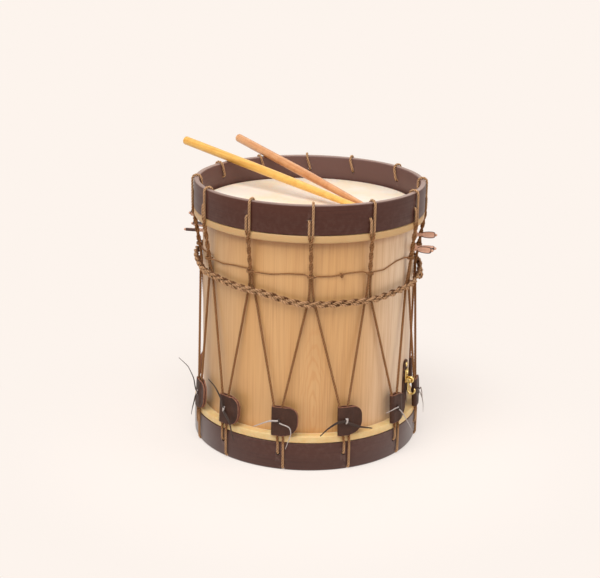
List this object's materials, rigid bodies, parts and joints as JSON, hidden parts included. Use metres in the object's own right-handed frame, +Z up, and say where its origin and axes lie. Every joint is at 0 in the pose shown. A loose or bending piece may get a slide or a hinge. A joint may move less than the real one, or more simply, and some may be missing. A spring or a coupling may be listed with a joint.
{
  "type": "renaissance drum",
  "caption": "Rope-tensioned cylindrical drum with wooden shell and hoops, skin heads, sliding leather tugs, braided rope girdle, pegs, brass hook and drumsticks.",
  "frame": {"origin": "on the drum's axis, in the plane that the bottom hoop stands on", "axes": "+Z up along the drum's axis, -Y to the front with the hook on the right (+X) side"},
  "size_m": [0.3765, 0.387, 0.4055],
  "materials": {
    "shell_wood": "pale bent wood, thin satin varnish",
    "hoop_wood": "dark stained wood, semi-gloss",
    "inner_wood": "bare wood",
    "head_skin": "cream rawhide, smooth",
    "hemp": "laid hemp rope, fibrous",
    "tug_leather": "dark brown leather, waxed",
    "lace_leather": "dark thong with a pale sheen",
    "peg_wood": "polished reddish wood",
    "gut": "twisted gut",
    "brass": "polished brass",
    "yellow_stick_wood": "turned wood, yellow varnish",
    "brown_stick_wood": "turned wood, orange-brown varnish"
  },
  "bodies": {
    "drum": {"shell": "shell_wood", "top_ring": "inner_wood", "bottom_ring": "inner_wood", "top_head": "head_skin", "top_flesh_hoop": "inner_wood", "bottom_head": "head_skin", "bottom_flesh_hoop": "inner_wood", "top_hoop": "hoop_wood", "bottom_hoop": "hoop_wood", "tension_rope": "hemp", "braid_rope": "hemp", "binding_cord": "hemp", "snare_1": "gut", "snare_2": "gut", "snare_3": "gut", "hanger_tab": "tug_leather", "hanger_rivet_1": "brass", "hanger_rivet_2": "brass", "hook_bracket": "brass"},
    "tug_1": {"tug_1": "tug_leather", "lace_1": "lace_leather"},
    "tug_2": {"tug_2": "tug_leather", "lace_2": "lace_leather"},
    "tug_3": {"tug_3": "tug_leather", "lace_3": "lace_leather"},
    "tug_4": {"tug_4": "tug_leather", "lace_4": "lace_leather"},
    "tug_5": {"tug_5": "tug_leather", "lace_5": "lace_leather"},
    "tug_6": {"tug_6": "tug_leather", "lace_6": "lace_leather"},
    "tug_7": {"tug_7": "tug_leather", "lace_7": "lace_leather"},
    "tug_8": {"tug_8": "tug_leather", "lace_8": "lace_leather"},
    "tug_9": {"tug_9": "tug_leather", "lace_9": "lace_leather"},
    "tug_10": {"tug_10": "tug_leather", "lace_10": "lace_leather"},
    "tug_11": {"tug_11": "tug_leather", "lace_11": "lace_leather"},
    "tug_12": {"tug_12": "tug_leather", "lace_12": "lace_leather"},
    "peg_1": {"peg_1": "peg_wood"},
    "peg_2": {"peg_2": "peg_wood"},
    "peg_3": {"peg_3": "peg_wood"},
    "peg_4": {"peg_4": "peg_wood"},
    "peg_5": {"peg_5": "peg_wood"},
    "peg_6": {"peg_6": "peg_wood"},
    "stick_left": {"stick_left": "yellow_stick_wood"},
    "stick_right": {"stick_right": "brown_stick_wood"},
    "hook": {"hook": "brass"}
  },
  "joints": [
    {"name": "tug_1_slide", "type": "slide", "parent": "drum", "child": "tug_1", "axis": [-0.018, 0.0553, 0.9983], "range_m": [0, 0.045], "deforming": ["tension_rope"]},
    {"name": "tug_2_slide", "type": "slide", "parent": "drum", "child": "tug_2", "axis": [-0.0439, 0.0382, 0.9983], "range_m": [0, 0.045], "deforming": ["tension_rope"]},
    {"name": "tug_3_slide", "type": "slide", "parent": "drum", "child": "tug_3", "axis": [-0.0562, 0.0151, 0.9983], "range_m": [0, 0.045], "deforming": ["tension_rope"]},
    {"name": "tug_4_slide", "type": "slide", "parent": "drum", "child": "tug_4", "axis": [-0.0556, -0.017, 0.9983], "range_m": [0, 0.045], "deforming": ["tension_rope"]},
    {"name": "tug_5_slide", "type": "slide", "parent": "drum", "child": "tug_5", "axis": [-0.0378, -0.0442, 0.9983], "range_m": [0, 0.045], "deforming": ["tension_rope"]},
    {"name": "tug_6_slide", "type": "slide", "parent": "drum", "child": "tug_6", "axis": [-0.0126, -0.0568, 0.9983], "range_m": [0, 0.045], "deforming": ["tension_rope"]},
    {"name": "tug_7_slide", "type": "slide", "parent": "drum", "child": "tug_7", "axis": [0.0136, -0.0566, 0.9983], "range_m": [0, 0.045], "deforming": ["tension_rope"]},
    {"name": "tug_8_slide", "type": "slide", "parent": "drum", "child": "tug_8", "axis": [0.0384, -0.0437, 0.9983], "range_m": [0, 0.045], "deforming": ["tension_rope"]},
    {"name": "tug_9_slide", "type": "slide", "parent": "drum", "child": "tug_9", "axis": [0.0527, -0.0246, 0.9983], "range_m": [0, 0.045], "deforming": ["tension_rope"]},
    {"name": "tug_10_slide", "type": "slide", "parent": "drum", "child": "tug_10", "axis": [0.0543, 0.0208, 0.9983], "range_m": [0, 0.045], "deforming": ["tension_rope"]},
    {"name": "tug_11_slide", "type": "slide", "parent": "drum", "child": "tug_11", "axis": [0.0404, 0.0418, 0.9983], "range_m": [0, 0.045], "deforming": ["tension_rope"]},
    {"name": "tug_12_slide", "type": "slide", "parent": "drum", "child": "tug_12", "axis": [0.0141, 0.0564, 0.9983], "range_m": [0, 0.045], "deforming": ["tension_rope"]},
    {"name": "peg_1_turn", "type": "hinge", "parent": "drum", "child": "peg_1", "pos_m": [0.1414, -0.05007, 0.2922], "axis": [0.9426, -0.3338, 0], "continuous": true},
    {"name": "peg_2_turn", "type": "hinge", "parent": "drum", "child": "peg_2", "pos_m": [0.14724, -0.02862, 0.2882], "axis": [0.9816, -0.1908, 0], "continuous": true},
    {"name": "peg_3_turn", "type": "hinge", "parent": "drum", "child": "peg_3", "pos_m": [0.14963, -0.01046, 0.302], "axis": [0.9976, -0.0698, 0], "continuous": true},
    {"name": "peg_4_turn", "type": "hinge", "parent": "drum", "child": "peg_4", "pos_m": [-0.1414, 0.05007, 0.294], "axis": [-0.9426, 0.3338, 0], "continuous": true},
    {"name": "peg_5_turn", "type": "hinge", "parent": "drum", "child": "peg_5", "pos_m": [-0.14382, 0.0426, 0.3125], "axis": [-0.9588, 0.284, 0], "continuous": true},
    {"name": "peg_6_turn", "type": "hinge", "parent": "drum", "child": "peg_6", "pos_m": [-0.14815, 0.02347, 0.2935], "axis": [-0.9877, 0.1564, 0], "continuous": true},
    {"name": "stick_left_lift", "type": "slide", "parent": "drum", "child": "stick_left", "axis": [0, 0, 1], "range_m": [0, 0.15]},
    {"name": "stick_right_lift", "type": "slide", "parent": "drum", "child": "stick_right", "axis": [0, 0, 1], "range_m": [0, 0.15]},
    {"name": "hook_swing", "type": "hinge", "parent": "drum", "child": "hook", "pos_m": [0.15071, -0.06089, 0.098], "axis": [-0.3746, -0.9272, 0], "range_deg": [0, 80]}
  ]
}
